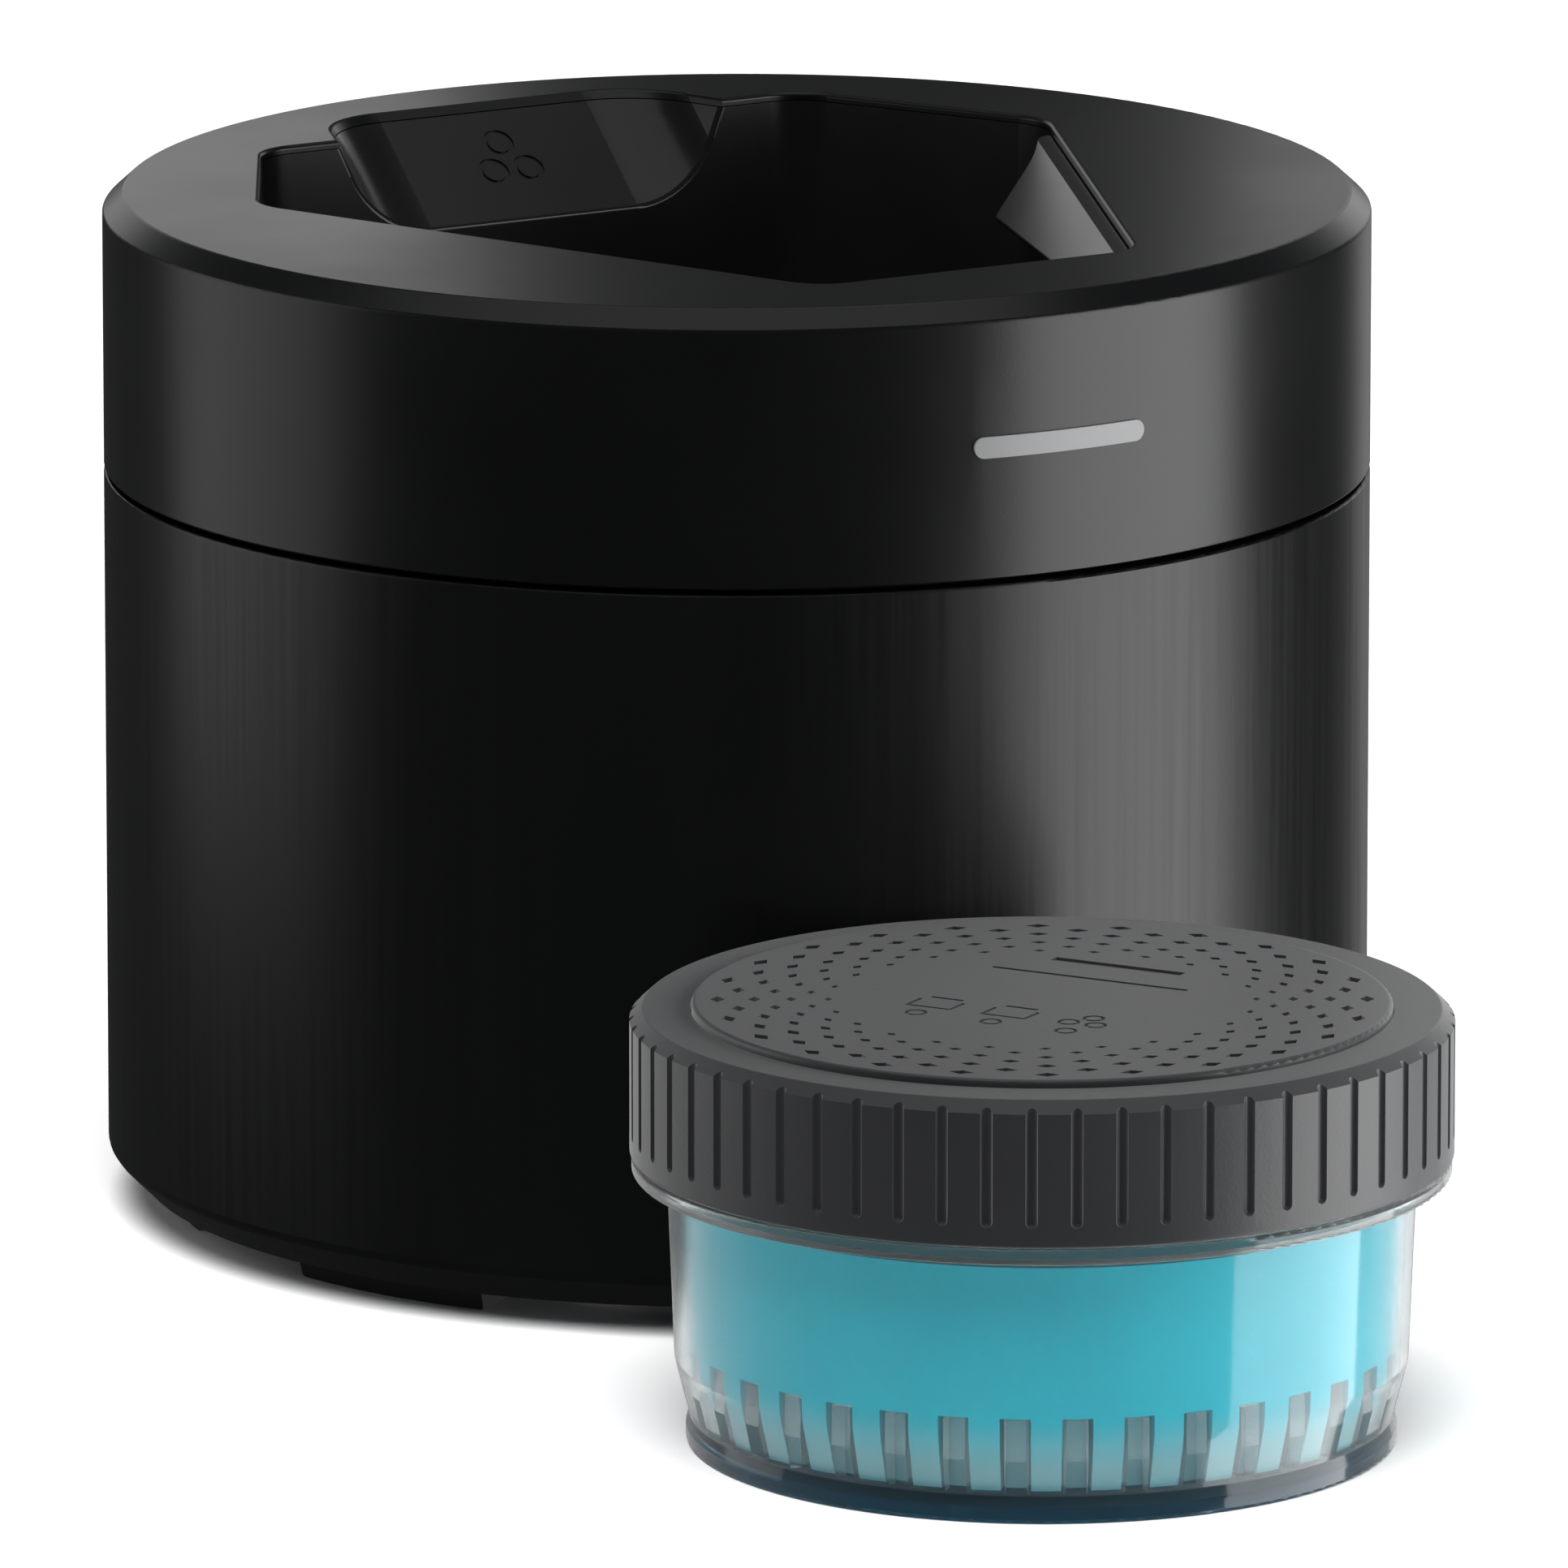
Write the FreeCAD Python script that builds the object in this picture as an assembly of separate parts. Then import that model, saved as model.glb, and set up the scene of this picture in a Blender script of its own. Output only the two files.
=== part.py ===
import FreeCAD, Part

import math
import os

# Shaver cleaning pod with its fluid cartridge.
#
# Frame: millimetres, +Z up. The origin is on the pod's own axis, on the surface that the
# feet stand on. The pod's front, with its marker bar, faces -Y, and the pod is the same
# left and right of X = 0. The cartridge stands on the same surface, in front of the pod.

V = FreeCAD.Vector
UP = V(0, 0, 1)

# Driving dimensions of the pod
POD_R = 66.0
POD_H = 107.0
SEAM_Z = 78.0
SEAM_GAP = 0.6
WALL = 2.4
TOP_CHAMFER_R = 2.2
TOP_CHAMFER_H = 2.0
BASE_Z = 2.7
BASE_CHAMFER = 3.3

# Feet
FOOT_COUNT = 8
FOOT_SPAN = 23.0
FOOT_R_IN = 53.9
FOOT_R_OUT = 60.1
FOOT_POCKET = 0.6
FOOT_TAPER = 0.7

# Lower half
PLATE_R = 61.6
PLATE_T = 2.3
LEDGE_R = 58.0
LEDGE_T = 2.0
WELL_R = 43.4
WELL_WALL = 2.0
WELL_FLOOR_Z = 7.0
FUNNEL_LOW_Z = 58.0
FUNNEL_TOP_Z = 64.0
FUNNEL_R = 54.6
DECK_Z = 74.5
DECK_T = 2.0
NECK_R = 59.0
NECK_WALL = 2.0
NECK_TOP_Z = 86.4
WELL_SCREW_R = 50.0
WELL_SCREW_COUNT = 4

# Bayonet between the halves
LUG_COUNT = 4
LUG_SPAN = 16.0
LUG_R = 61.0
LUG_Z = 83.2
LUG_H = 2.0
ENTRY_SPAN = 22.0
TRACK_R_IN = 59.5
TRACK_R_OUT = 61.6
TRACK_Z = 79.2
TRACK_H = 3.3
RING_Z = 78.6
RING_TOP_Z = 92.0
RING_FLANGE_T = 2.0
RING_FLANGE_R_IN = 55.6
RING_SCREW_R = 58.3
RING_SCREW_COUNT = 4
STOP_ANGLE = 35.6

# Marker bar on the front of the upper half
MARKER_LENGTH = 20.0
MARKER_HEIGHT = 2.2
MARKER_Z = 92.0
MARKER_SINK = 0.6
MARKER_RISE = 0.25

# Rim seal
SEAL_R_IN = 61.4
SEAL_R_OUT = 63.0
SEAL_Z = 76.7
SEAL_H = 1.4

# Seat that takes the shaver head: corners (x, y, corner radius) of its right half
SEAT_BACK = (32.6, 43.4, 6.0)
SEAT_SIDE = (47.5, 16.8, 6.6)
SEAT_FRONT = (18.8, -49.2, 5.3)
SEAT_DEPTH = 40.0
SEAT_DRAFT = 2.8
SEAT_WALL = 1.6
SEAT_LIP_ROUND = 0.7
OPENING_EDGE = 0.8
OPENING_ROUND = 0.45
RIM_SEAM = 0.1
REBATE_GAP = 0.2

# Chute behind the seat: a U-shaped channel that slopes down into the bowl
CHUTE_HALF_TOP = 23.7
CHUTE_HALF_LOW = 18.9
CHUTE_DEPTH = 10.4
CHUTE_CORNER_R = 10.0
CHUTE_FRONT_Y = 42.7
CHUTE_BACK_Y = 54.8
EMBLEM_SPOTS = [(-2.1, 6.6), (2.1, 6.6), (0.0, 10.3)]
EMBLEM_RING_R = 1.75
EMBLEM_DEPTH = 0.2

# Guide flaps on the seat's two long walls
GUIDE_REACH = 5.8
GUIDE_DROP = 7.5
GUIDE_T = 1.3
GUIDE_STEP = 0.35
GUIDE_OUTLINE = [(-0.05, -1.5, 0.3), (0.95, -1.5, 0.3), (0.935, 0.6, 2.5), (0.85, 3.0, 4.0),
                 (0.81, 10.4, 1.4), (0.0, 6.2, 2.0)]

# Seat ears and screws
EAR_SPOTS = [(51.0, 21.5), (-51.0, 21.5), (23.5, -51.0), (-23.5, -51.0)]
EAR_R = 4.0
EAR_Z = 97.0
EAR_T = 2.0
SEAT_BOSS_R = 3.4

# Screws
SCREW_R = 1.25
SCREW_HEAD_R = 2.5
SCREW_HEAD_H = 1.6

# Pump, hung under the seat's floor
SHAFT_R = 1.5
SHAFT_LOW_Z = 16.6
RUNNING_FIT = 0.06
BUSH_H = 5.0
COLUMN_R = 7.0
COLUMN_WALL = 1.5
BELL_R = 14.0
BELL_Z = 15.0
BELL_TOP_Z = 25.0
BELL_WALL = 1.6
IMPELLER_R = 10.5
IMPELLER_Z = 17.6
IMPELLER_H = 4.6
VANE_COUNT = 6
RISER_Y = 10.4
RISER_R = 2.6
RISER_BORE = 1.6
PEG_LOBES = 3
PEG_Z = 68.6
PEG_TOP_Z = 73.0
SHAFT_SEAL_R = 3.4
SHAFT_HUB_R = 6.0
DRAIN_R_IN = 9.0
DRAIN_R_OUT = 21.0
DRAIN_SPAN = 120.0
FILTER_R = 24.0
FILTER_T = 1.0

# Cartridge: a cup with a ribbed screw-off cap
CAP_R = 41.2
CAP_GAP_TO_POD = 1.5
CARTRIDGE_BEARING = 13.75
CUP_R = 37.5
CUP_LOW_R = 36.75
CUP_WALL = 1.3
FLANGE_R = 41.0
FLANGE_Z = 27.55
FLANGE_T = 1.65
CUP_NECK_R = 37.9
CUP_RIM_Z = 40.1
BASE_RING_R = 35.6
BASE_RING_STEP = 1.5
BASE_RING_H = 2.8
CUP_FLOOR_T = 1.6
RIB_COUNT = 36
RIB_REACH = 2.6
RIB_T = 2.2
RIB_TOP_Z = 10.4
FLUID_TOP_Z = 26.2
CAP_LOW_Z = 29.4
CAP_TOP_Z = 44.1
CAP_WALL = 1.6
CAP_CHAMFER_R = 1.3
CAP_CHAMFER_H = 1.2
GROOVE_COUNT = 58
GROOVE_START = 1.9
GROOVE_R = 0.6
GROOVE_DEPTH = 0.55
GROOVE_LOW = 2.6
CUP_LUG_COUNT = 4
CUP_LUG_SPAN = 18.0
CUP_LUG_R = 39.0
CUP_LUG_Z = 35.2
CUP_LUG_H = 1.4
CAP_LEDGE_R = 38.3
CAP_LEDGE_Z = 32.6
CAP_LEDGE_H = 2.2
CAP_ENTRY_SPAN = 25.0
DISC_R = 35.0
DISC_SEAT_DEPTH = 1.0
DISC_RISE = 0.75
GASKET_R_IN = 36.2
GASKET_R_OUT = 38.6
GASKET_H = 1.6
FILTER_LEDGE_Z = 31.2
FILTER_PLATE_Z = 34.0
PUMP_HOLE_R = 15.5

# Pattern on the cap's disc
DIMPLE_RINGS = 7
DIMPLES_PER_RING = 24
DIMPLE_OUTER_RING_R = 32.4
DIMPLE_RING_STEP = 1.84
DIMPLE_DEPTH = 0.9
DIMPLE_OUTER = (1.28, 0.76)
DIMPLE_INNER = (0.68, 0.42)
MARK_DEPTH = 0.3
MARK_PITCH = 8.4
MARK_Y = -8.6
MARK_LINE = 0.4
CAP_MARK_TURN = -58.5


# ---------------------------------------------------------------- helpers

def disc(radius, low, high, x=0.0, y=0.0):
    return Part.makeCylinder(radius, high - low, V(x, y, low))


def tube(inner, outer, low, high, x=0.0, y=0.0):
    return disc(outer, low, high, x, y).cut(disc(inner, low - 1, high + 1, x, y))


def block(x0, x1, y0, y1, z0, z1):
    return Part.makeBox(x1 - x0, y1 - y0, z1 - z0, V(x0, y0, z0))


def turned(profile, angle=360.0):
    """Solid of revolution about Z from (radius, height) corners."""
    points = [V(r, 0, z) for r, z in profile]
    wire = Part.makePolygon(points + [points[0]])
    return Part.Face(wire).revolve(V(0, 0, 0), UP, angle)


def spun(shape, degrees):
    copy = shape.copy()
    copy.rotate(V(0, 0, 0), UP, degrees)
    return copy


def ring_of(shape, count, start=0.0):
    return [spun(shape, start + k * 360.0 / count) for k in range(count)]


def sector(inner, outer, low, high, middle, span):
    """Stretch of a flat ring, centred on the angle middle."""
    profile = [(inner, low), (outer, low), (outer, high), (inner, high)]
    return spun(turned(profile, span), middle - span / 2)


def rounded_wire(corners, z):
    """Closed wire at height z through (x, y, radius) corners, each rounded by an arc."""
    edges = []
    joins = []
    count = len(corners)
    for k, (x, y, radius) in enumerate(corners):
        here = V(x, y, z)
        before = V(corners[k - 1][0], corners[k - 1][1], z).sub(here).normalize()
        after = V(corners[(k + 1) % count][0], corners[(k + 1) % count][1], z).sub(here).normalize()
        half = before.getAngle(after) / 2
        back_off = radius / math.tan(half)
        middle = before.add(after).normalize()
        bulge = radius / math.sin(half) - radius
        start = here.add(V(before).multiply(back_off))
        end = here.add(V(after).multiply(back_off))
        joins.append((start, here.add(V(middle).multiply(bulge)), end))
    for k, (start, crown, end) in enumerate(joins):
        edges.append(Part.Arc(start, crown, end).toShape())
        edges.append(Part.LineSegment(end, joins[(k + 1) % count][0]).toShape())
    return Part.Wire(edges)


def rounded(shape, radius, wanted):
    """Fillet the edges that the test accepts."""
    edges = [edge for edge in shape.Edges if wanted(edge)]
    return shape.makeFillet(radius, edges)


def inner_rim(shape, z):
    """Edges of the opening in the flat face at height z."""
    for face in shape.Faces:
        box = face.BoundBox
        if abs(box.ZMin - z) < 1e-3 and abs(box.ZMax - z) < 1e-3 and len(face.Wires) > 1:
            return min(face.Wires, key=lambda wire: wire.BoundBox.DiagonalLength).Edges
    return []


def at_height(edge, z):
    box = edge.BoundBox
    return abs(box.ZMin - z) < 1e-4 and abs(box.ZMax - z) < 1e-4


def circle_at(edge, z, radius):
    curve = edge.Curve
    return at_height(edge, z) and hasattr(curve, "Radius") and abs(curve.Radius - radius) < 1e-4


def screw(x, y, head_low, tip_high):
    """Pan-head screw driven upwards, with a cross slot in its head."""
    head = disc(SCREW_HEAD_R, head_low, head_low + SCREW_HEAD_H, x, y)
    head = rounded(head, 0.5, lambda e: at_height(e, head_low))
    shank = disc(SCREW_R, head_low + SCREW_HEAD_H, tip_high, x, y)
    slot = block(x - 1.5, x + 1.5, y - 0.3, y + 0.3, head_low, head_low + 0.9)
    cross = block(x - 0.3, x + 0.3, y - 1.5, y + 1.5, head_low, head_low + 0.9)
    return head.fuse(shank).cut(slot.fuse(cross))


def ring_spots(count, radius, start):
    angles = [math.radians(start + k * 360.0 / count) for k in range(count)]
    return [(radius * math.cos(a), radius * math.sin(a)) for a in angles]


def save(shape, node):
    shape = shape.removeSplitter()
    if not shape.isValid():
        print("not valid:", node)
    shape.exportStep("parts/" + node + ".step")


# ---------------------------------------------------------------- lower half

WELL_SCREW_SPOTS = ring_spots(WELL_SCREW_COUNT, WELL_SCREW_R, 45)
RING_SCREW_SPOTS = ring_spots(RING_SCREW_COUNT, RING_SCREW_R, 45)
LOWER_TOP_Z = SEAM_Z - SEAM_GAP / 2
UPPER_LOW_Z = SEAM_Z + SEAM_GAP / 2
PLATE_TOP_Z = BASE_Z + PLATE_T
SEAT_TOP_Z = POD_H - OPENING_EDGE - RIM_SEAM


def lower_housing():
    inner = POD_R - WALL
    shell = turned([
        (PLATE_R + 0.2, BASE_Z),
        (POD_R - BASE_CHAMFER, BASE_Z),
        (POD_R, BASE_Z + BASE_CHAMFER),
        (POD_R, LOWER_TOP_Z),
        (inner, LOWER_TOP_Z),
        (inner, DECK_Z),
        (inner - 2.0, DECK_Z),
        (inner - 2.0, DECK_Z - 1.5),
        (inner, DECK_Z - 3.5),
        (inner, PLATE_TOP_Z + LEDGE_T),
        (LEDGE_R, PLATE_TOP_Z + LEDGE_T),
        (LEDGE_R, PLATE_TOP_Z),
        (PLATE_R + 0.2, PLATE_TOP_Z),
    ])
    shell = rounded(shell, 1.4, lambda e: circle_at(e, BASE_Z + BASE_CHAMFER, POD_R))
    return rounded(shell, 0.3, lambda e: circle_at(e, LOWER_TOP_Z, POD_R))


def cartridge_well():
    cup_out = WELL_R + WELL_WALL
    deck_top = DECK_Z + DECK_T
    well = turned([
        (0, WELL_FLOOR_Z),
        (cup_out, WELL_FLOOR_Z),
        (cup_out, FUNNEL_LOW_Z),
        (FUNNEL_R + WELL_WALL, FUNNEL_TOP_Z),
        (FUNNEL_R + WELL_WALL, DECK_Z),
        (POD_R - WALL - 0.3, DECK_Z),
        (POD_R - WALL - 0.3, deck_top),
        (NECK_R, deck_top),
        (NECK_R, NECK_TOP_Z),
        (NECK_R - NECK_WALL, NECK_TOP_Z),
        (NECK_R - NECK_WALL, deck_top),
        (FUNNEL_R, deck_top),
        (FUNNEL_R, FUNNEL_TOP_Z + 0.8),
        (WELL_R, FUNNEL_LOW_Z + 0.8),
        (WELL_R, WELL_FLOOR_Z + WELL_WALL),
        (0, WELL_FLOOR_Z + WELL_WALL),
    ])
    lug = sector(NECK_R - 0.5, LUG_R, LUG_Z, LUG_Z + LUG_H, 0, LUG_SPAN)
    well = well.multiFuse(ring_of(lug, LUG_COUNT))
    bosses = []
    for x, y in WELL_SCREW_SPOTS:
        bosses.append(disc(3.6, PLATE_TOP_Z, FUNNEL_LOW_Z + 2, x, y))
    well = well.multiFuse(bosses)
    for x, y in WELL_SCREW_SPOTS:
        well = well.cut(disc(SCREW_R, PLATE_TOP_Z - 1, PLATE_TOP_Z + 14, x, y))
    # locating rib that keys the cartridge's base ring in the middle of the well
    floor_top = WELL_FLOOR_Z + WELL_WALL
    return well.fuse(tube(BASE_RING_R + 0.6, BASE_RING_R + 1.8, floor_top - 0.2, floor_top + 1.6))


def foot(number):
    top = BASE_Z + FOOT_POCKET
    profile = [
        (FOOT_R_IN, top),
        (FOOT_R_OUT, top),
        (FOOT_R_OUT, BASE_Z),
        (FOOT_R_OUT - FOOT_TAPER, 0),
        (FOOT_R_IN + FOOT_TAPER, 0),
        (FOOT_R_IN, BASE_Z),
    ]
    pad = turned(profile, FOOT_SPAN)
    pad = rounded(pad, 0.5, lambda e: at_height(e, 0))
    middle = -90 + 180.0 / FOOT_COUNT + (number - 1) * 360.0 / FOOT_COUNT
    return spun(pad, middle - FOOT_SPAN / 2)


def base_plate():
    plate = disc(PLATE_R, BASE_Z, PLATE_TOP_Z)
    pocket = sector(FOOT_R_IN, FOOT_R_OUT, BASE_Z - 1, BASE_Z + FOOT_POCKET,
                    -90 + 180.0 / FOOT_COUNT, FOOT_SPAN)
    for cut in ring_of(pocket, FOOT_COUNT):
        plate = plate.cut(cut)
    for x, y in WELL_SCREW_SPOTS:
        plate = plate.cut(disc(SCREW_R + 0.15, BASE_Z - 1, PLATE_TOP_Z + 1, x, y))
        plate = plate.cut(disc(SCREW_HEAD_R + 0.3, BASE_Z - 1, BASE_Z + 1.0, x, y))
    stiffener = tube(36.0, 38.0, PLATE_TOP_Z, WELL_FLOOR_Z)
    return plate.fuse(stiffener)


def base_screws():
    head_low = BASE_Z + 1.0 - SCREW_HEAD_H
    return Part.makeCompound([screw(x, y, head_low, PLATE_TOP_Z + 9) for x, y in WELL_SCREW_SPOTS])


def rim_seal():
    seal = tube(SEAL_R_IN, SEAL_R_OUT, SEAL_Z, SEAL_Z + SEAL_H)
    return rounded(seal, 0.4, lambda e: hasattr(e.Curve, "Radius"))


# ---------------------------------------------------------------- upper half

def mirrored(corners):
    """The whole outline from its right half, front corner to back corner."""
    left = [(-x, y, r) for x, y, r in reversed(corners)]
    return corners + left


def seat_corners(grow):
    """Bowl outline, moved outwards by grow; each wall moves along its own normal."""
    face = Part.Face(rounded_wire(mirrored([SEAT_FRONT, SEAT_SIDE, SEAT_BACK]), 0))
    if grow == 0:
        return face.OuterWire
    return face.makeOffset2D(grow).OuterWire


def bowl_block(grow, top, low, low_grow):
    upper = seat_corners(grow)
    upper.translate(V(0, 0, top))
    lower = seat_corners(low_grow)
    lower.translate(V(0, 0, low))
    return Part.makeLoft([upper, lower], True, True)


def chute_block(grow, top):
    """U-shaped channel, extruded up and back along its own slope."""
    low = POD_H - CHUTE_DEPTH - grow
    slope = (CHUTE_HALF_TOP - CHUTE_HALF_LOW) / CHUTE_DEPTH
    half_top = CHUTE_HALF_TOP + grow + slope * (top - POD_H)
    half_low = CHUTE_HALF_LOW + grow
    corners = [
        (half_low, low, CHUTE_CORNER_R + grow),
        (half_top + 6 * slope, top + 6, 0.5),
        (-half_top - 6 * slope, top + 6, 0.5),
        (-half_low, low, CHUTE_CORNER_R + grow),
    ]
    wire = rounded_wire(corners, 0)
    wire.rotate(V(0, 0, 0), V(1, 0, 0), 90)
    run = V(0, CHUTE_BACK_Y - CHUTE_FRONT_Y, CHUTE_DEPTH)
    lead_in = 0.35
    wire.translate(V(0, CHUTE_FRONT_Y - lead_in * run.y, -lead_in * run.z))
    channel = Part.Face(wire).extrude(V(run).multiply(lead_in + 1.3))
    return channel.common(block(-POD_R, POD_R, 20, POD_R, low - 20, top))


def upper_housing():
    inner = POD_R - WALL
    shell = turned([
        (inner, UPPER_LOW_Z),
        (POD_R, UPPER_LOW_Z),
        (POD_R, POD_H - TOP_CHAMFER_H),
        (POD_R - TOP_CHAMFER_R, POD_H),
        (0, POD_H),
        (0, POD_H - WALL),
        (inner, POD_H - WALL),
    ])
    shell = rounded(shell, 0.5, lambda e: circle_at(e, POD_H, POD_R - TOP_CHAMFER_R)
                    or circle_at(e, POD_H - TOP_CHAMFER_H, POD_R))
    shell = rounded(shell, 0.25, lambda e: circle_at(e, UPPER_LOW_Z, POD_R))
    bosses = [disc(SEAT_BOSS_R, EAR_Z + EAR_T, POD_H - WALL + 0.2, x, y) for x, y in EAR_SPOTS]
    bosses += [disc(3.2, RING_TOP_Z, POD_H - WALL + 0.2, x, y) for x, y in RING_SCREW_SPOTS]
    shell = shell.multiFuse(bosses)
    shell = shell.cut(seat_bowl_cavity()).removeSplitter()
    shell = shell.makeFillet(OPENING_ROUND, inner_rim(shell, POD_H))
    # the seat's rim sits in a rebate under the opening's edge
    side = SEAT_WALL + REBATE_GAP
    under_edge = POD_H - OPENING_EDGE
    rebate = bowl_block(side, under_edge, POD_H - 30, side).fuse(chute_block(side, under_edge))
    shell = shell.cut(rebate)
    for x, y in EAR_SPOTS:
        shell = shell.cut(disc(SCREW_R, EAR_Z, POD_H - WALL, x, y))
    for x, y in RING_SCREW_SPOTS:
        shell = shell.cut(disc(SCREW_R, RING_TOP_Z - 1, RING_TOP_Z + 8, x, y))
    return shell.cut(marker_bar(0.05, POD_R - MARKER_SINK, POD_R + 1))


def seat_bowl_cavity():
    low = POD_H - SEAT_DEPTH
    bowl = bowl_block(0, POD_H, low, -SEAT_DRAFT)
    return bowl.fuse(chute_block(0, POD_H))


def on_lip(edge):
    """Edges where the chute's floor and sides break through the bowl's back wall."""
    box = edge.BoundBox
    low = POD_H - CHUTE_DEPTH - 2.5
    within = box.XMax < CHUTE_HALF_TOP + 1 and box.XMin > -CHUTE_HALF_TOP - 1
    back_wall = box.YMin > SEAT_BACK[1] - 1.5 and box.YMax < SEAT_BACK[1] + 0.1
    return within and back_wall and box.ZMin > low and box.ZMin < SEAT_TOP_Z - 1


def emblem():
    """Three plain rings in the chute's floor, one for each of a rotary shaver's heads."""
    rings = [tube(EMBLEM_RING_R - 0.5, EMBLEM_RING_R, -EMBLEM_DEPTH, 1, x, y) for x, y in EMBLEM_SPOTS]
    mark = Part.makeCompound(rings)
    slope = math.degrees(math.atan2(CHUTE_DEPTH, CHUTE_BACK_Y - CHUTE_FRONT_Y))
    mark.rotate(V(0, 0, 0), V(1, 0, 0), slope)
    mark.translate(V(0, CHUTE_FRONT_Y, POD_H - CHUTE_DEPTH))
    return mark


def head_seat():
    low = POD_H - SEAT_DEPTH - SEAT_WALL
    body = bowl_block(SEAT_WALL, SEAT_TOP_Z, low, SEAT_WALL - SEAT_DRAFT)
    body = body.fuse(chute_block(SEAT_WALL, SEAT_TOP_Z))
    ears = []
    for x, y in EAR_SPOTS:
        reach = math.hypot(x, y)
        ear = disc(EAR_R, EAR_Z, EAR_Z + EAR_T, x, y)
        web = block(reach - 9, reach, -EAR_R, EAR_R, EAR_Z, EAR_Z + EAR_T)
        web.rotate(V(0, 0, 0), UP, math.degrees(math.atan2(y, x)))
        ears += [ear, web]
    body = body.multiFuse(ears)
    body = body.cut(seat_bowl_cavity()).removeSplitter()
    body = body.makeFillet(SEAT_LIP_ROUND, [e for e in body.Edges if on_lip(e)])
    body = body.cut(emblem())
    for x, y in EAR_SPOTS:
        body = body.cut(disc(SCREW_R + 0.15, EAR_Z - 1, EAR_Z + EAR_T + 1, x, y))
    floor = POD_H - SEAT_DEPTH
    body = body.fuse(disc(SHAFT_HUB_R, low, floor + 1.0))
    body = body.cut(disc(SHAFT_SEAL_R, low - 1, floor + 2))
    body = body.cut(disc(RISER_R, low - 1, floor + 2, 0, RISER_Y))
    for middle in (0, 180):
        body = body.cut(sector(DRAIN_R_IN, DRAIN_R_OUT, low - 1, floor + 1, middle, DRAIN_SPAN))
    return body


def guide(side):
    """Sloping flap that leads the shaver head in, along one long wall of the bowl."""
    top = SEAT_TOP_Z + GUIDE_STEP
    front = V(side * SEAT_FRONT[0], SEAT_FRONT[1], top)
    back = V(side * SEAT_SIDE[0], SEAT_SIDE[1], top)
    along = back.sub(front)
    length = along.Length
    along.normalize()
    inward = V(-side * along.y, side * along.x, 0)
    slant = V(inward).multiply(GUIDE_REACH).add(V(0, 0, -GUIDE_DROP))
    slant.normalize()
    flat = rounded_wire([(share * length, down, r) for share, down, r in GUIDE_OUTLINE], 0)
    flap = Part.Face(flat).extrude(V(0, 0, side * GUIDE_T))
    flap = rounded(flap, 0.4, lambda e: e.BoundBox.YMax > 3 and e.BoundBox.ZLength < 0.01)
    normal = along.cross(slant)
    flap.Placement = FreeCAD.Placement(FreeCAD.Matrix(
        along.x, slant.x, normal.x, front.x,
        along.y, slant.y, normal.y, front.y,
        along.z, slant.z, normal.z, front.z,
        0, 0, 0, 1))
    flap = flap.common(bowl_block(0, POD_H, POD_H - SEAT_DEPTH, -SEAT_DRAFT))
    return flap.common(disc(POD_R, 0, SEAT_TOP_Z))


def bayonet_ring():
    inner = POD_R - WALL
    ring = turned([
        (TRACK_R_OUT, RING_Z),
        (inner, RING_Z),
        (inner, RING_TOP_Z),
        (RING_FLANGE_R_IN, RING_TOP_Z),
        (RING_FLANGE_R_IN, RING_TOP_Z - RING_FLANGE_T),
        (TRACK_R_OUT, RING_TOP_Z - RING_FLANGE_T),
    ])
    pitch = 360.0 / LUG_COUNT
    track = sector(TRACK_R_IN, TRACK_R_OUT + 0.5, TRACK_Z, TRACK_Z + TRACK_H, pitch / 2, pitch - ENTRY_SPAN)
    stop = sector(TRACK_R_IN, TRACK_R_OUT + 0.5, TRACK_Z + TRACK_H, TRACK_Z + TRACK_H + 3, STOP_ANGLE, 3.5)
    ring = ring.multiFuse(ring_of(track.fuse(stop), LUG_COUNT))
    for x, y in RING_SCREW_SPOTS:
        ring = ring.cut(disc(SCREW_R + 0.15, RING_TOP_Z - RING_FLANGE_T - 1, RING_TOP_Z + 1, x, y))
    return ring


def marker_bar(grow, inner, outer):
    """Slim rounded bar wrapped on the pod's side, facing -Y."""
    half = MARKER_LENGTH / 2 + grow
    high = MARKER_HEIGHT / 2 + grow
    corners = [(half, -high, high * 0.98), (half, high, high * 0.98),
               (-half, high, high * 0.98), (-half, -high, high * 0.98)]
    wire = rounded_wire(corners, 0)
    wire.rotate(V(0, 0, 0), V(1, 0, 0), 90)
    wire.translate(V(0, -POD_R - 2, MARKER_Z))
    bar = Part.Face(wire).extrude(V(0, 12, 0))
    return bar.common(tube(inner, outer, MARKER_Z - 5, MARKER_Z + 5))


# ---------------------------------------------------------------- pump

SEAT_FLOOR_Z = POD_H - SEAT_DEPTH
SEAT_UNDER_Z = SEAT_FLOOR_Z - SEAT_WALL


def pump_housing():
    bore = COLUMN_R - COLUMN_WALL
    body = turned([
        (bore, SEAT_UNDER_Z),
        (COLUMN_R, SEAT_UNDER_Z),
        (COLUMN_R, BELL_TOP_Z),
        (BELL_R, BELL_TOP_Z),
        (BELL_R, BELL_Z),
        (BELL_R - BELL_WALL, BELL_Z),
        (BELL_R - BELL_WALL, BELL_TOP_Z - BELL_WALL),
        (SHAFT_R + 0.5, BELL_TOP_Z - BELL_WALL),
        (SHAFT_R + 0.5, BELL_TOP_Z),
        (bore, BELL_TOP_Z),
    ])
    return body.cut(disc(RISER_BORE, BELL_Z, BELL_TOP_Z + 1, 0, RISER_Y))


def pump_cover():
    cover = tube(4.0, BELL_R - BELL_WALL, BELL_Z, BELL_Z + 1.2)
    bars = block(-4.5, 4.5, -0.5, 0.5, BELL_Z, BELL_Z + 1.2)
    return cover.multiFuse([bars, spun(bars, 90)])


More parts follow.
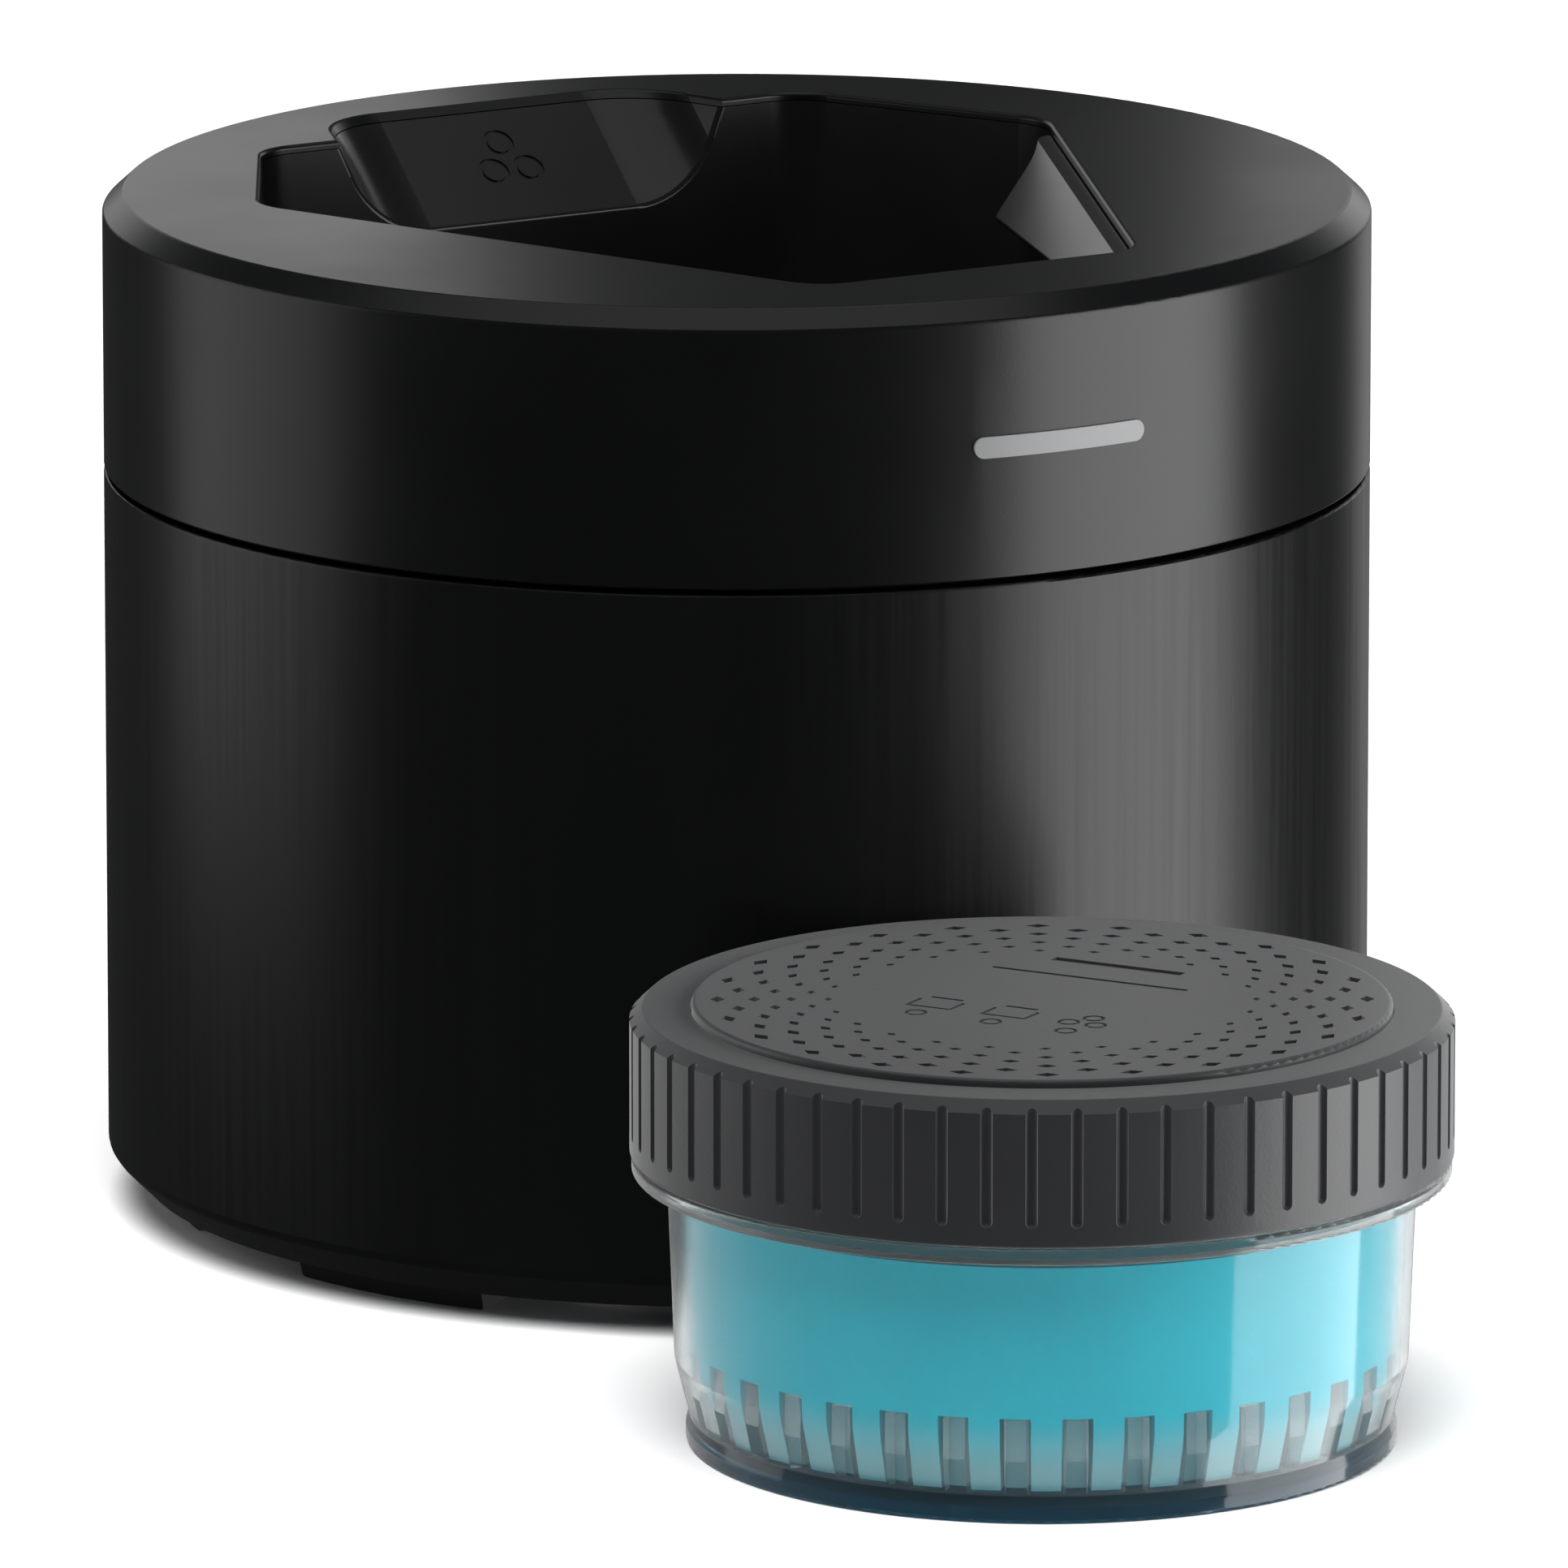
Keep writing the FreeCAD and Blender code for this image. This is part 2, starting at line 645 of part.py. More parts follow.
def shaft_bush(low):
    return tube(SHAFT_R + RUNNING_FIT, COLUMN_R - COLUMN_WALL, low, low + BUSH_H)


def shaft_seal():
    return tube(SHAFT_R + RUNNING_FIT, SHAFT_SEAL_R, SEAT_UNDER_Z, SEAT_FLOOR_Z + 1.0)


def pump_shaft():
    return disc(SHAFT_R, SHAFT_LOW_Z, PEG_TOP_Z - 1.5)


def impeller():
    hub = disc(3.4, IMPELLER_Z, IMPELLER_Z + IMPELLER_H)
    back = disc(IMPELLER_R, IMPELLER_Z + IMPELLER_H - 1.0, IMPELLER_Z + IMPELLER_H)
    vane = block(2.5, IMPELLER_R, -0.5, 0.5, IMPELLER_Z, IMPELLER_Z + IMPELLER_H - 0.5)
    vane.rotate(V(4, 0, 0), UP, 25)
    vane = vane.common(disc(IMPELLER_R, IMPELLER_Z, IMPELLER_Z + IMPELLER_H))
    wheel = hub.multiFuse([back] + ring_of(vane, VANE_COUNT))
    return wheel.cut(disc(SHAFT_R, SHAFT_LOW_Z, PEG_TOP_Z))


def drive_peg():
    lobes = [disc(1.5, PEG_Z, PEG_TOP_Z, 2.6 * math.cos(a), 2.6 * math.sin(a))
             for a in [k * 2 * math.pi / PEG_LOBES for k in range(PEG_LOBES)]]
    peg = disc(2.9, PEG_Z, PEG_TOP_Z).multiFuse(lobes)
    peg = rounded(peg, 0.5, lambda e: at_height(e, PEG_TOP_Z))
    return peg.cut(disc(SHAFT_R, PEG_Z - 1, PEG_TOP_Z - 1.5))


def riser_tube():
    return tube(RISER_BORE, RISER_R, BELL_TOP_Z, SEAT_UNDER_Z, 0, RISER_Y)


def spray_nozzle():
    low = SEAT_UNDER_Z
    body = disc(RISER_R, low, SEAT_FLOOR_Z + 6.0, 0, RISER_Y)
    body = rounded(body, 1.0, lambda e: at_height(e, SEAT_FLOOR_Z + 6.0))
    body = body.cut(disc(RISER_BORE, low - 1, SEAT_FLOOR_Z + 4.6, 0, RISER_Y))
    for k in range(3):
        angle = math.radians(210 + 60 * k)
        x = 1.3 * math.cos(angle)
        y = RISER_Y + 1.3 * math.sin(angle)
        body = body.cut(disc(0.35, SEAT_FLOOR_Z + 4, SEAT_FLOOR_Z + 7, x, y))
    return body


def drain_filter():
    low = SEAT_FLOOR_Z
    disc_plate = tube(SHAFT_HUB_R + 0.1, FILTER_R, low, low + FILTER_T)
    slots = []
    for k in range(-8, 9):
        x = 2.5 * k
        slots.append(block(x - 0.6, x + 0.6, -FILTER_R, FILTER_R, low - 1, low + FILTER_T + 1))
    bars = Part.makeCompound(slots).common(tube(SHAFT_HUB_R + 1.6, DRAIN_R_OUT, low - 1, low + 2))
    bridge = block(-DRAIN_R_OUT, DRAIN_R_OUT, -1, 1, low - 1, low + 2)
    riser = disc(RISER_R + 1.2, low - 1, low + 2, 0, RISER_Y)
    plate = disc_plate.cut(bars.cut(bridge).cut(riser))
    return plate.cut(disc(RISER_R + 0.1, low - 1, low + 2, 0, RISER_Y))


def drain_funnel():
    top = SEAT_UNDER_Z
    return turned([(23.0, top), (25.0, top), (25.0, top - 1.5), (21.5, top - 9.0),
                   (20.0, top - 9.0), (23.0, top - 2.0)])


# ---------------------------------------------------------------- cartridge

CARTRIDGE_DISTANCE = POD_R + CAP_R + CAP_GAP_TO_POD
BEARING = math.radians(CARTRIDGE_BEARING)
CARTRIDGE_AT = V(-CARTRIDGE_DISTANCE * math.sin(BEARING), -CARTRIDGE_DISTANCE * math.cos(BEARING), 0)


def cup_shell():
    wall_low = BASE_RING_H + 5.7
    neck_in = CUP_NECK_R - CUP_WALL
    cup = turned([
        (BASE_RING_R - 2.0, 0),
        (BASE_RING_R, 0),
        (BASE_RING_R, BASE_RING_STEP),
        (BASE_RING_R - 0.3, BASE_RING_H),
        (CUP_LOW_R, wall_low),
        (CUP_R, FLANGE_Z),
        (FLANGE_R, FLANGE_Z),
        (FLANGE_R, FLANGE_Z + FLANGE_T),
        (CUP_NECK_R, FLANGE_Z + FLANGE_T),
        (CUP_NECK_R, CUP_RIM_Z),
        (neck_in, CUP_RIM_Z),
        (neck_in, FILTER_LEDGE_Z),
        (neck_in - 1.2, FILTER_LEDGE_Z),
        (neck_in - 1.2, FILTER_LEDGE_Z - 1.4),
        (CUP_R - CUP_WALL, FILTER_LEDGE_Z - 2.8),
        (CUP_LOW_R - CUP_WALL, wall_low),
        (BASE_RING_R - 0.3 - CUP_WALL, BASE_RING_H),
        (0, BASE_RING_H),
        (0, BASE_RING_H - CUP_FLOOR_T),
        (BASE_RING_R - 2.0, BASE_RING_H - CUP_FLOOR_T),
    ])
    cup = rounded(cup, 5.0, lambda e: circle_at(e, wall_low, CUP_LOW_R))
    return rounded(cup, 0.4, lambda e: circle_at(e, FLANGE_Z, FLANGE_R)
                   or circle_at(e, FLANGE_Z + FLANGE_T, FLANGE_R) or circle_at(e, 0, BASE_RING_R))


def cartridge_cup():
    wall_in = BASE_RING_R - CUP_WALL
    rib = block(wall_in - RIB_REACH, wall_in + 0.6, -RIB_T / 2, RIB_T / 2, BASE_RING_H - 0.3, RIB_TOP_Z)
    lug = sector(CUP_NECK_R - 0.5, CUP_LUG_R, CUP_LUG_Z, CUP_LUG_Z + CUP_LUG_H, 0, CUP_LUG_SPAN)
    return cup_shell().multiFuse(ring_of(rib, RIB_COUNT, 180.0 / RIB_COUNT) + ring_of(lug, CUP_LUG_COUNT))


def cleaning_fluid():
    filled = disc(CUP_R - 0.5, BASE_RING_H, FLUID_TOP_Z)
    fluid = filled.cut(cartridge_cup())
    return max(fluid.Solids, key=lambda solid: solid.Volume)


def filter_plate():
    outer = CUP_NECK_R - CUP_WALL - 0.1
    plate = tube(PUMP_HOLE_R, outer, FILTER_PLATE_Z, FILTER_PLATE_Z + 1.4)
    collar = tube(PUMP_HOLE_R, PUMP_HOLE_R + 1.2, FILTER_LEDGE_Z, FILTER_PLATE_Z + 0.5)
    slot = block(PUMP_HOLE_R + 3, outer - 3, -0.8, 0.8, FILTER_PLATE_Z - 1, FILTER_PLATE_Z + 2)
    return plate.cut(Part.makeCompound(ring_of(slot, 24))).fuse(collar)


def fine_filter():
    return tube(PUMP_HOLE_R + 1.2, CUP_NECK_R - CUP_WALL - 0.1, FILTER_LEDGE_Z, FILTER_PLATE_Z)


def cap_gasket():
    low = CUP_RIM_Z + 0.1
    ring = tube(GASKET_R_IN, GASKET_R_OUT, low, low + GASKET_H)
    return rounded(ring, 0.3, lambda e: hasattr(e.Curve, "Radius"))


def cartridge_cap():
    inner = CAP_R - CAP_WALL
    under = CUP_RIM_Z + GASKET_H + 0.2
    seat_r = DISC_R + 0.15
    cap = turned([
        (inner, CAP_LOW_Z),
        (CAP_R, CAP_LOW_Z),
        (CAP_R, CAP_TOP_Z - CAP_CHAMFER_H),
        (CAP_R - CAP_CHAMFER_R, CAP_TOP_Z),
        (seat_r, CAP_TOP_Z),
        (seat_r, CAP_TOP_Z - DISC_SEAT_DEPTH),
        (0, CAP_TOP_Z - DISC_SEAT_DEPTH),
        (0, under),
        (inner, under),
    ])
    cap = rounded(cap, 0.3, lambda e: circle_at(e, CAP_TOP_Z, CAP_R - CAP_CHAMFER_R)
                  or circle_at(e, CAP_LOW_Z, CAP_R))
    groove_x = CAP_R + GROOVE_R - GROOVE_DEPTH
    groove_low = CAP_LOW_Z + GROOVE_LOW
    groove = disc(GROOVE_R, groove_low, CAP_TOP_Z + 1, groove_x, 0)
    groove = groove.fuse(Part.makeSphere(GROOVE_R, V(groove_x, 0, groove_low)))
    cap = cap.cut(Part.makeCompound(ring_of(groove, GROOVE_COUNT, GROOVE_START)))
    pitch = 360.0 / CUP_LUG_COUNT
    ledge = sector(CAP_LEDGE_R, inner + 0.3, CAP_LEDGE_Z, CAP_LEDGE_Z + CAP_LEDGE_H,
                   pitch / 2, pitch - CAP_ENTRY_SPAN)
    return cap.multiFuse(ring_of(ledge, CUP_LUG_COUNT))


def dimple(ring):
    """Diamond-shaped pit; the pits shrink from the outer ring to the inner one."""
    share = ring / (DIMPLE_RINGS - 1)
    across = DIMPLE_OUTER[0] + (DIMPLE_INNER[0] - DIMPLE_OUTER[0]) * share
    radial = DIMPLE_OUTER[1] + (DIMPLE_INNER[1] - DIMPLE_OUTER[1]) * share
    radius = DIMPLE_OUTER_RING_R - ring * DIMPLE_RING_STEP
    top = CAP_TOP_Z + DISC_RISE
    low = top - DIMPLE_DEPTH
    points = [V(radius - radial, 0, low), V(radius, -across, low),
              V(radius + radial, 0, low), V(radius, across, low)]
    return Part.Face(Part.makePolygon(points + [points[0]])).extrude(V(0, 0, DIMPLE_DEPTH + 1))


def tray_mark(x):
    """Open tray with a bar above it and a small ring below it."""
    low, high = -MARK_DEPTH, 1
    y = MARK_Y
    tray = block(x - 2.6, x + 2.6, y, y + 3.2, low, high)
    tray = tray.cut(block(x - 2.6 + MARK_LINE, x + 2.6 - MARK_LINE, y + MARK_LINE, y + 4, low - 1, high + 1))
    return [tray, block(x - 1.8, x + 1.8, y + 4.0, y + 4.5, low, high)]


def step_marks(top):
    """Plain step symbols and two bars, engraved in the middle of the disc."""
    low, high = -MARK_DEPTH, 1
    marks = tray_mark(-MARK_PITCH) + tray_mark(0)
    for x, y in [(-1.5, 1.1), (1.5, 1.1), (0, 3.6)]:
        marks.append(tube(1.2 - MARK_LINE, 1.2, low, high, MARK_PITCH + x, MARK_Y + y))
    for k in (-1, 0, 1):
        marks.append(tube(1.2 - MARK_LINE, 1.2, low, high, MARK_PITCH * k, MARK_Y - 2.4))
    marks.append(block(-11, 11, 9.9, 10.5, low, high))
    marks.append(block(-7.3, 7.3, 15.6, 17.0, low, high))
    engraved = spun(Part.makeCompound(marks), CAP_MARK_TURN)
    engraved.translate(V(0, 0, top))
    return engraved


def cap_disc():
    top = CAP_TOP_Z + DISC_RISE
    plate = disc(DISC_R, CAP_TOP_Z - DISC_SEAT_DEPTH, top)
    plate = rounded(plate, 0.5, lambda e: at_height(e, top))
    pits = []
    for ring in range(DIMPLE_RINGS):
        pits += ring_of(dimple(ring), DIMPLES_PER_RING, (ring % 2) * 180.0 / DIMPLES_PER_RING)
    plate = plate.cut(Part.makeCompound(pits))
    return plate.cut(step_marks(top))


def on_table(shape):
    moved = shape.copy()
    moved.translate(CARTRIDGE_AT)
    return moved


# ---------------------------------------------------------------- the nodes

os.makedirs("parts", exist_ok=True)

save(lower_housing(), "lower_housing")
save(cartridge_well(), "cartridge_well")
save(base_plate(), "base_plate")
save(base_screws(), "base_screws")
for number in range(1, FOOT_COUNT + 1):
    save(foot(number), "foot_" + str(number))
save(rim_seal(), "rim_seal")

save(upper_housing(), "upper_housing")
save(head_seat(), "head_seat")
save(guide(-1), "seat_guide_left")
save(guide(1), "seat_guide_right")
save(Part.makeCompound([screw(x, y, EAR_Z - SCREW_HEAD_H, EAR_Z + 7.5) for x, y in EAR_SPOTS]), "seat_screws")
save(bayonet_ring(), "bayonet_ring")
RING_HEAD_Z = RING_TOP_Z - RING_FLANGE_T - SCREW_HEAD_H
save(Part.makeCompound([screw(x, y, RING_HEAD_Z, RING_TOP_Z + 7) for x, y in RING_SCREW_SPOTS]),
     "ring_screws")
save(marker_bar(0, POD_R - MARKER_SINK, POD_R + MARKER_RISE), "front_marker")

save(pump_housing(), "pump_housing")
save(pump_cover(), "pump_cover")
save(shaft_bush(SEAT_UNDER_Z - BUSH_H), "upper_bush")
save(shaft_bush(BELL_TOP_Z), "lower_bush")
save(shaft_seal(), "shaft_seal")
save(riser_tube(), "riser_tube")
save(spray_nozzle(), "spray_nozzle")
save(drain_filter(), "drain_filter")
save(drain_funnel(), "drain_funnel")
save(drive_peg(), "drive_peg")
save(pump_shaft(), "pump_shaft")
save(impeller(), "impeller")

save(on_table(cartridge_cup()), "cartridge_cup")
save(on_table(cleaning_fluid()), "cleaning_fluid")
save(on_table(filter_plate()), "filter_plate")
save(on_table(fine_filter()), "fine_filter")
save(on_table(cap_gasket()), "cap_gasket")
save(on_table(cartridge_cap()), "cartridge_cap")
save(on_table(cap_disc()), "cap_disc")
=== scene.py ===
import math

import bmesh
import bpy
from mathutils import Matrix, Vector


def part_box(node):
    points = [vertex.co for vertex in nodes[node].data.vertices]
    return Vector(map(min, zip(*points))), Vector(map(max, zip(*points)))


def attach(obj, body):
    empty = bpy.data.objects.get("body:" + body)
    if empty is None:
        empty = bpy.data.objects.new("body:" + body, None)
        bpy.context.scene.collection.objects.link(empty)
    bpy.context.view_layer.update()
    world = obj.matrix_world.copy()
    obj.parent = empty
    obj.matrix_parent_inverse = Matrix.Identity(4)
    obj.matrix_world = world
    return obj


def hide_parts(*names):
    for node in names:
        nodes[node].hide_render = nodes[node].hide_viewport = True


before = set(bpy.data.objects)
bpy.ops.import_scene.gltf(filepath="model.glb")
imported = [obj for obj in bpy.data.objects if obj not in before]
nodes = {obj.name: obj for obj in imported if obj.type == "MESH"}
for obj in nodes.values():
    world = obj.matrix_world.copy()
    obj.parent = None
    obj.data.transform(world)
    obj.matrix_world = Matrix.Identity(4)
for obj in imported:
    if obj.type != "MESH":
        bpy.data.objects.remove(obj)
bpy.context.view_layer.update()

scene = bpy.context.scene

# Sizes in metres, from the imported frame
POD_LOW, POD_HIGH = (Vector(corner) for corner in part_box("upper_housing"))
POD_R = (POD_HIGH.x - POD_LOW.x) / 2
CUP_LOW, CUP_HIGH = (Vector(corner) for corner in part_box("cartridge_cup"))
CUP_CENTRE = (CUP_LOW + CUP_HIGH) / 2

# Cartridge cup: its base ring is tinted, the wall above it is clear
RING_TOP = CUP_LOW.z + 0.0028
RING_BLEND = 0.0002
RING_NAVY = (0.09, 0.26, 0.37)
CUP_CLEAR = (0.94, 0.98, 0.985)

# Ribs on the inside of the cup's wall, low down; RIB_FACE is the radius of their inner faces
RIB_TOP = CUP_LOW.z + 0.0104
RIB_FADE = 0.005
RIB_COUNT = 36
RIB_FACE = 0.0317
RIB_PALE = (0.20, 0.42, 0.46)

# Inside of the cup's wall: (height above the cup's foot, radius) at its foot, bend and rim
WALL_FOOT = (0.0028, 0.0340)
WALL_BEND = (0.0085, 0.03545)
WALL_RIM = (0.0284, 0.0362)

# Body of fluid: its gap to the cup, and the heights of its rings above the cup's foot
FLUID_CLEAR = 0.00025
RINGS_AMONG_RIBS = (0.0031, 0.005, 0.007, 0.0085, 0.0098)
RIB_SHOULDER = 0.0003
RINGS_ON_WALL = (0.012, 0.015, 0.018, 0.021, 0.024, 0.0256, 0.0262)
# (height above the cup's foot, distance in from the gap) down the meniscus and over the surface
MENISCUS = ((0.02605, 0.0003), (0.0259, 0.0008), (0.0258, 0.0018), (0.02576, 0.006), (0.02576, 0.02))
# Degrees from the middle of a rib: across the rib's face, and over the gap up to the next rib
STEPS_ON_RIB = (-2.34, -1.2, 0, 1.2, 2.34)
STEPS_IN_GAP = (2.5, 3.2, 4.1, 5.0, 5.9, 6.8, 7.5)
FLUID_SHARP = math.radians(35)

# Depth of the surface textures
GRAIN_DEPTH = 0.00005
HAIRLINE_DEPTH = 0.00004
BRUSHED_DEPTH = 0.00003
FIBRE_DEPTH = 0.0004

# Where most of a noise texture's values lie, and how large its slow blotches are
NOISE_LOW, NOISE_HIGH = 0.3, 0.7
BLOTCH_SCALE = 25.0

# Camera: a long lens, well back, above the pod and looking down, turned from the pod's front
CAMERA_TURN = math.radians(-30)
CAMERA_REACH = 32.14 * POD_R
CAMERA_HEIGHT = 7.866 * POD_R + 0.0005
CAMERA_PITCH = math.radians(12.61)
CAMERA_LENS = 477.0
AIM_RIGHT = 0.0049
AIM_DROP = 0.0017

FLOOR_HALF = 6.0


# ---------------------------------------------------------------- shader helpers

def new_material(name):
    material = bpy.data.materials.new(name)
    material.use_nodes = True
    tree = material.node_tree
    tree.nodes.clear()
    output = tree.nodes.new("ShaderNodeOutputMaterial")
    shader = tree.nodes.new("ShaderNodeBsdfPrincipled")
    tree.links.new(shader.outputs["BSDF"], output.inputs["Surface"])
    return material, tree, shader


def object_coords(tree, stretch=(1, 1, 1)):
    coords = tree.nodes.new("ShaderNodeTexCoord")
    mapping = tree.nodes.new("ShaderNodeMapping")
    mapping.inputs["Scale"].default_value = stretch
    tree.links.new(coords.outputs["Object"], mapping.inputs["Vector"])
    return mapping.outputs["Vector"]


def noise(tree, vector, scale, detail, roughness=0.5):
    node = tree.nodes.new("ShaderNodeTexNoise")
    node.inputs["Scale"].default_value = scale
    node.inputs["Detail"].default_value = detail
    node.inputs["Roughness"].default_value = roughness
    tree.links.new(vector, node.inputs["Vector"])
    return node.outputs["Fac"]


def ranged(tree, value, low, high, from_low=NOISE_LOW, from_high=NOISE_HIGH):
    node = tree.nodes.new("ShaderNodeMapRange")
    node.inputs["From Min"].default_value = from_low
    node.inputs["From Max"].default_value = from_high
    node.inputs["To Min"].default_value = low
    node.inputs["To Max"].default_value = high
    tree.links.new(value, node.inputs["Value"])
    return node.outputs["Result"]


def tinted(tree, value, dark, light):
    node = tree.nodes.new("ShaderNodeValToRGB")
    node.color_ramp.elements[0].position = NOISE_LOW
    node.color_ramp.elements[1].position = NOISE_HIGH
    node.color_ramp.elements[0].color = (*dark, 1)
    node.color_ramp.elements[1].color = (*light, 1)
    tree.links.new(value, node.inputs["Fac"])
    return node.outputs["Color"]


def bumped(tree, shader, height, strength, distance):
    node = tree.nodes.new("ShaderNodeBump")
    node.inputs["Strength"].default_value = strength
    node.inputs["Distance"].default_value = distance
    tree.links.new(height, node.inputs["Height"])
    tree.links.new(node.outputs["Normal"], shader.inputs["Normal"])


def moulded(name, dark, light, rough, grain, bump, specular=0.5):
    """Moulded plastic: fine grain in the surface, slow variation in colour and sheen."""
    material, tree, shader = new_material(name)
    coords = object_coords(tree)
    slow = noise(tree, coords, BLOTCH_SCALE, 3)
    fine = noise(tree, coords, grain, 2, 0.6)
    tree.links.new(tinted(tree, slow, dark, light), shader.inputs["Base Color"])
    tree.links.new(ranged(tree, slow, *rough), shader.inputs["Roughness"])
    bumped(tree, shader, fine, bump, GRAIN_DEPTH)
    shader.inputs["Specular IOR Level"].default_value = specular
    return material


def matt_cap(name):
    """Charcoal moulding with a fine spark grain that turns paler at a low angle."""
    material = moulded(name, dark=(0.012, 0.0125, 0.014), light=(0.018, 0.019, 0.021),
                       rough=(0.34, 0.42), grain=2200, bump=0.3, specular=0.4)
    shader = material.node_tree.nodes["Principled BSDF"]
    shader.inputs["Sheen Weight"].default_value = 0.3
    shader.inputs["Sheen Roughness"].default_value = 0.45
    return material


def hairline(name, dark, light, rough, specular):
    """Black moulding with faint upright hairlines round its side."""
    material, tree, shader = new_material(name)
    coords = object_coords(tree, (1, 1, 0.02))
    lines = noise(tree, coords, 900, 2, 0.7)
    broad = noise(tree, coords, 60, 3, 0.6)
    grain = noise(tree, object_coords(tree), 2500, 2, 0.6)
    tree.links.new(tinted(tree, broad, dark, light), shader.inputs["Base Color"])
    tree.links.new(ranged(tree, lines, *rough), shader.inputs["Roughness"])
    mix = tree.nodes.new("ShaderNodeMath")
    mix.operation = "ADD"
    tree.links.new(lines, mix.inputs[0])
    tree.links.new(grain, mix.inputs[1])
    bumped(tree, shader, mix.outputs["Value"], 0.12, HAIRLINE_DEPTH)
    shader.inputs["Specular IOR Level"].default_value = specular
    return material


def metal(name, colour, rough):
    """Bare metal with faint upright streaks in its colour and sheen."""
    material, tree, shader = new_material(name)
    coords = object_coords(tree, (1, 1, 0.1))
    streaks = noise(tree, coords, 1500, 3, 0.6)
    dark = tuple(0.85 * channel for channel in colour)
    tree.links.new(tinted(tree, streaks, dark, colour), shader.inputs["Base Color"])
    tree.links.new(ranged(tree, streaks, *rough), shader.inputs["Roughness"])
    bumped(tree, shader, streaks, 0.1, BRUSHED_DEPTH)
    shader.inputs["Metallic"].default_value = 1.0
    return material


def clear_plastic(name):
    """Clear moulding, frosted at low angles, under a smooth skin; navy in its base ring."""
    material, tree, shader = new_material(name)
    coords = object_coords(tree)
    grain = noise(tree, coords, 2600, 2, 0.6)
    height = tree.nodes.new("ShaderNodeSeparateXYZ")
    tree.links.new(coords, height.inputs["Vector"])
    above_ring = ranged(tree, height.outputs["Z"], 0.2, 0.8,
                        RING_TOP - RING_BLEND, RING_TOP + RING_BLEND)
    tree.links.new(tinted(tree, above_ring, RING_NAVY, CUP_CLEAR), shader.inputs["Base Color"])
    tree.links.new(ranged(tree, grain, 0.08, 0.15), shader.inputs["Roughness"])
    shader.inputs["Transmission Weight"].default_value = 1.0
    shader.inputs["IOR"].default_value = 1.25
    shader.inputs["Coat Weight"].default_value = 0.4
    shader.inputs["Coat Roughness"].default_value = 0.06
    shader.inputs["Sheen Weight"].default_value = 0.45
    shader.inputs["Sheen Roughness"].default_value = 0.4
    return material


def fluid_material(name):
    """Teal cleaning fluid, paler low down where the cup's ribs stand in it."""
    material, tree, shader = new_material(name)
    coords = object_coords(tree)
    slow = noise(tree, coords, 30, 3)
    grain = noise(tree, coords, 1500, 2)
    height = tree.nodes.new("ShaderNodeSeparateXYZ")
    tree.links.new(coords, height.inputs["Vector"])
    teal = tinted(tree, slow, (0.0, 0.40, 0.51), (0.003, 0.49, 0.61))
    blend = tree.nodes.new("ShaderNodeMix")
    blend.data_type = "RGBA"
    blend.inputs["A"].default_value = (*RIB_PALE, 1)
    above_ribs = ranged(tree, height.outputs["Z"], 0, 1, RIB_TOP - RIB_FADE, RIB_TOP)
    tree.links.new(above_ribs, blend.inputs["Factor"])
    tree.links.new(teal, blend.inputs["B"])
    tree.links.new(blend.outputs["Result"], shader.inputs["Base Color"])
    tree.links.new(ranged(tree, grain, 0.3, 0.5), shader.inputs["Roughness"])
    shader.inputs["Specular IOR Level"].default_value = 0.0
    return material


def fleece(name):
    """White filter felt with coarse fibres."""
    material, tree, shader = new_material(name)
    coords = object_coords(tree)
    fibres = noise(tree, coords, 900, 6, 0.8)
    white = tinted(tree, fibres, (0.62, 0.62, 0.6), (0.85, 0.85, 0.83))
    tree.links.new(white, shader.inputs["Base Color"])
    tree.links.new(ranged(tree, fibres, 0.85, 1.0), shader.inputs["Roughness"])
    bumped(tree, shader, fibres, 0.8, FIBRE_DEPTH)
    return material


# ---------------------------------------------------------------- materials of the CAD nodes

def paint(material, *names):
    for name in names:
        for slot in nodes[name].material_slots:
            slot.material = material


paint(hairline("pod_lower_black", dark=(0.0015, 0.0016, 0.0018), light=(0.0024, 0.0026, 0.0028),
               rough=(0.30, 0.38), specular=0.35),
      "lower_housing")
paint(moulded("pod_upper_black", dark=(0.0016, 0.0017, 0.0019), light=(0.0026, 0.0028, 0.003),
              rough=(0.27, 0.33), grain=2600, bump=0.10, specular=0.35),
      "upper_housing")
# the seat is a little smoother and paler than the housing round it
paint(moulded("seat_gloss_black", dark=(0.0036, 0.0037, 0.004), light=(0.0056, 0.0057, 0.006),
              rough=(0.19, 0.26), grain=600, bump=0.05, specular=0.35),
      "head_seat", "seat_guide_left", "seat_guide_right")
paint(moulded("well_black", dark=(0.010, 0.010, 0.011), light=(0.018, 0.018, 0.019),
              rough=(0.4, 0.5), grain=1500, bump=0.2),
      "cartridge_well", "bayonet_ring")
paint(moulded("base_black", dark=(0.010, 0.010, 0.011), light=(0.016, 0.016, 0.017),
              rough=(0.5, 0.62), grain=1400, bump=0.5),
      "base_plate")
paint(moulded("foot_rubber", dark=(0.006, 0.006, 0.0065), light=(0.010, 0.010, 0.011),
              rough=(0.7, 0.85), grain=1100, bump=0.5, specular=0.3),
      *("foot_%d" % number for number in range(1, 9)))
paint(moulded("seal_rubber", dark=(0.008, 0.008, 0.009), light=(0.014, 0.014, 0.015),
              rough=(0.6, 0.75), grain=1100, bump=0.4, specular=0.3),
      "rim_seal", "shaft_seal", "cap_gasket")
paint(metal("screw_zinc", colour=(0.72, 0.71, 0.68), rough=(0.25, 0.4)),
      "base_screws", "seat_screws", "ring_screws")
paint(moulded("marker_grey", dark=(0.13, 0.135, 0.14), light=(0.17, 0.175, 0.18),
              rough=(0.32, 0.42), grain=2000, bump=0.15),
      "front_marker")
